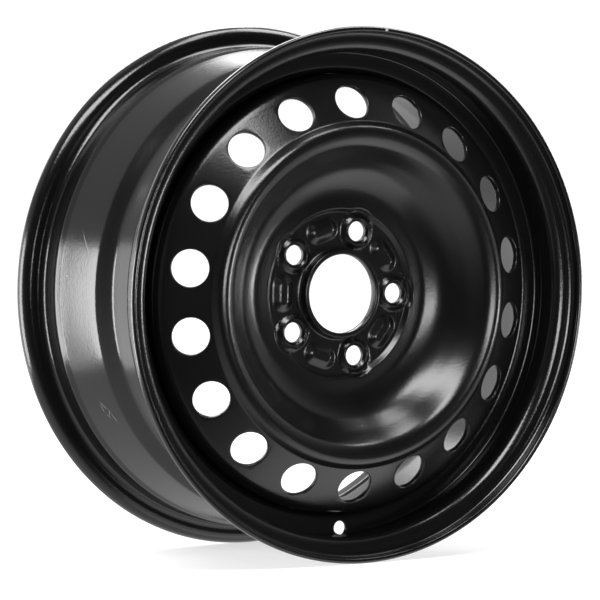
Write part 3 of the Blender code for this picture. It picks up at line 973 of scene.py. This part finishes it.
def pierce_bolt(shape, grid, rows, sizes, forms, angle):
    """Opens one bolt hole with its conical seat and the hollow behind it."""
    ends = []
    pad_y = sizes.hub_face - sizes.sheet
    paths = boss_path(forms)[1:], hollow_path(forms)
    for side_rows, path, y in zip(rows, paths, (pad_y, sizes.hub_face)):
        place = hole_place(forms.bolt_circle / 2, angle, y)
        edges = window_edges(shape, grid, side_rows, angle, BOLT_WINDOW_SIDE)
        for way in (0.5, 1):
            edges = ring(shape, edges, place, BOSS_RING, way, lambda spot: height_over(path, spot.length))
        for distance, rise in reversed([point for point in path if point[0] < BOSS_RING]):
            edges = ring(shape, edges, place, distance, 1, lambda spot: rise)
        ends += edges
    bmesh.ops.bridge_loops(shape, edges=ends)


class WHEEL_OT_welds(bpy.types.Operator):
    """Builds the stitch welds between the skirt's edge and the drop centre"""

    bl_idname = "wheel.welds"
    bl_label = "Stitch Welds"

    def execute(self, context):
        welds = context.scene.wheel_welds
        paint = satin_black("weld_satin_black", WELD_DULLER)
        for i in range(welds.number):
            start = FULL_TURN * i / welds.number + welds.first
            piece = finished(f"weld_stitch_{i + 1}", weld_shape(context, welds, start), paint)
            claim(piece, [f"weld_{i + 1}"])
        return {"FINISHED"}


def weld_shape(context, welds, start):
    """One stitch: a crowned fillet with ripples, thinner at its ends."""
    sizes = context.scene.wheel_disc
    corner = Vector((skirt_radius(sizes), sizes.skirt_end + sizes.clearance))
    section = [corner]
    for i in range(WELD_PIECES + 1):
        angle = math.pi / 2 * i / WELD_PIECES
        bulge = welds.leg * (WELD_MIDDLE + WELD_SIDES_MORE * abs(math.cos(2 * angle)))
        section.append(corner + bulge * Vector((-math.cos(angle), math.sin(angle))))
    shape = bmesh.new()
    points = [shape.verts.new((p.x, p.y, 0)) for p in section]
    face = shape.faces.new(points)
    spin(shape, [face, *face.edges, *points], welds.span, WELD_STEPS)
    for item in shape.verts:
        x, y, z = item.co
        swing = math.atan2(z, x)
        spot = Vector((math.hypot(x, z), y)) - corner
        if spot.length < welds.leg / 4:
            continue
        way = swing / welds.span
        end = min(way, 1 - way) * welds.ripples / 2
        fade = math.sqrt(max(1 - (1 - min(end, 1)) ** 2, 0))
        wave = abs(math.sin(math.pi * way * welds.ripples)) * welds.ripple
        spot = spot * (WELD_END + (1 - WELD_END) * fade) - spot.normalized() * wave
        item.co = on_circle(corner.x + spot.x, swing, corner.y + spot.y)
    bmesh.ops.transform(shape, matrix=Matrix.Rotation(-start, 4, "Y"), verts=shape.verts)
    return shape


class WHEEL_OT_studio(bpy.types.Operator):
    """Sets up the white floor, the lights and the camera"""

    bl_idname = "wheel.studio"
    bl_label = "Studio"

    def execute(self, context):
        look = context.scene.wheel_studio
        white_floor(CAD_BOUNDS[0][2], look)
        for name, azimuth, elevation, distance, width, height, brightness in SOFTBOXES:
            place = direction(math.radians(azimuth), math.radians(elevation)) * distance
            softbox(name, place, (width, height), brightness)
        camera_at(look)
        context.scene.world = studio_air(look)
        context.scene.view_settings.view_transform = "Standard"
        return {"FINISHED"}


def direction(azimuth, elevation):
    """Direction from the wheel; azimuth 0 is the street side, and it grows to the right."""
    level = math.cos(elevation)
    return Vector((math.sin(azimuth) * level, -math.cos(azimuth) * level, math.sin(elevation)))


def studio_air(look):
    """Pale room that is dark on the camera's side, and plain white where the camera sees past the floor."""
    world = bpy.data.worlds.new("studio_air")
    world.use_nodes = True
    tree = world.node_tree
    place = tree.nodes.new("ShaderNodeTexCoord").outputs["Generated"]
    dark = {0: place, 1: direction(look.dark_azimuth, look.dark_elevation)}
    toward = new_node(tree, "ShaderNodeVectorMath", dark, operation="DOT_PRODUCT").outputs["Value"]
    dark_limits = math.cos(look.dark_reach), math.cos(look.dark_reach / 2)
    room = mapped(tree, toward, dark_limits, (look.air, look.dark_air), "SMOOTHSTEP")
    height = new_node(tree, "ShaderNodeSeparateXYZ", {"Vector": place}).outputs["Z"]
    ground = mapped(tree, height, GROUND_LIMITS, (look.ground, 1))
    air = tree.nodes["Background"]
    feed(tree, air, {"Color": WHITE, "Strength": joined(tree, "MULTIPLY", room, ground)})
    white = new_node(tree, "ShaderNodeBackground", {"Color": WHITE, "Strength": BACKDROP})
    seen = tree.nodes.new("ShaderNodeLightPath").outputs["Is Camera Ray"]
    shown = {0: seen, 1: air.outputs["Background"], 2: white.outputs["Background"]}
    mix = new_node(tree, "ShaderNodeMixShader", shown)
    feed(tree, tree.nodes["World Output"], {"Surface": mix.outputs["Shader"]})
    return world


def white_floor(floor_z, look):
    """Pale floor, lit through from below; the paint mirrors the studio air in its place."""
    material, tree, shader, place = new_material("floor_white", FLOOR_TONE)
    away = new_node(tree, "ShaderNodeVectorMath", {0: place}, operation="LENGTH").outputs["Value"]
    glow = mapped(tree, away, GLOW_LIMITS, (look.floor_glow, look.far_glow))
    white = {"Roughness": FLOOR_ROUGHNESS, "Emission Color": WHITE, "Emission Strength": glow}
    feed(tree, shader, white)
    shape = bmesh.new()
    bmesh.ops.create_grid(shape, x_segments=1, y_segments=1, size=FLOOR_REACH)
    bmesh.ops.translate(shape, vec=(0, 0, floor_z), verts=shape.verts)
    floor = placed("studio_floor", shape, material)
    floor.visible_glossy = False
    floor.visible_shadow = False
    return floor


def aimed(place, target):
    """Rotation of a light or a camera at a place that faces a point."""
    return (target - place).to_track_quat("-Z", "Y").to_euler()


def softbox(name, place, size, brightness):
    """Rectangular area light that faces the wheel's middle; brightness 1 looks like lit white paper."""
    lamp = bpy.data.lights.new(name, "AREA")
    lamp.shape = "RECTANGLE"
    lamp.size, lamp.size_y = size
    lamp.energy = PAPER_WATTS * size[0] * size[1] * brightness
    light = linked(name, lamp)
    light.location = place
    light.rotation_euler = aimed(place, Vector((0, 0, 0)))
    light.visible_camera = False


def camera_at(look):
    """Camera at the photograph's viewing angle."""
    lens = bpy.data.cameras.new("camera")
    lens.lens = look.lens
    camera = linked("camera", lens)
    camera.location = direction(look.azimuth, look.elevation) * look.distance
    camera.rotation_euler = aimed(camera.location, Vector(look.aim))
    bpy.context.scene.camera = camera


class WHEEL_PT_panel(bpy.types.Panel):
    """Lists the wheel's pieces"""

    bl_idname = "WHEEL_PT_panel"
    bl_label = "Steel Wheel"
    bl_space_type = "VIEW_3D"
    bl_region_type = "UI"
    bl_category = "Wheel"

    def draw(self, context):
        for operator in OPERATORS:
            self.layout.operator(operator.bl_idname)
        for group in GROUPS:
            values = getattr(context.scene, group)
            box = self.layout.box()
            box.label(text=group.replace("_", " ").title())
            for name in values.__annotations__:
                box.prop(values, name)


GROUPS = {
    "wheel_rim": WheelRimSizes,
    "wheel_disc": WheelDiscSizes,
    "wheel_forms": WheelFormSizes,
    "wheel_welds": WheelWeldSizes,
    "wheel_paint": WheelPaintLook,
    "wheel_studio": WheelStudioLook,
}
OPERATORS = (WHEEL_OT_rim, WHEEL_OT_disc, WHEEL_OT_welds, WHEEL_OT_studio)


def register():
    """Registers the classes and puts the sizes and looks on the scene."""
    for cls in (*GROUPS.values(), *OPERATORS, WHEEL_PT_panel):
        bpy.utils.register_class(cls)
    for name, cls in GROUPS.items():
        setattr(bpy.types.Scene, name, PointerProperty(type=cls))


def unregister():
    """Takes them all away again."""
    for name in GROUPS:
        delattr(bpy.types.Scene, name)
    for cls in reversed((*GROUPS.values(), *OPERATORS, WHEEL_PT_panel)):
        bpy.utils.unregister_class(cls)


def main():
    """Builds the pieces and the studio in order."""
    register()
    for operator in OPERATORS:
        group, name = operator.bl_idname.split(".")
        getattr(getattr(bpy.ops, group), name)()


if __name__ == "__main__":
    main()
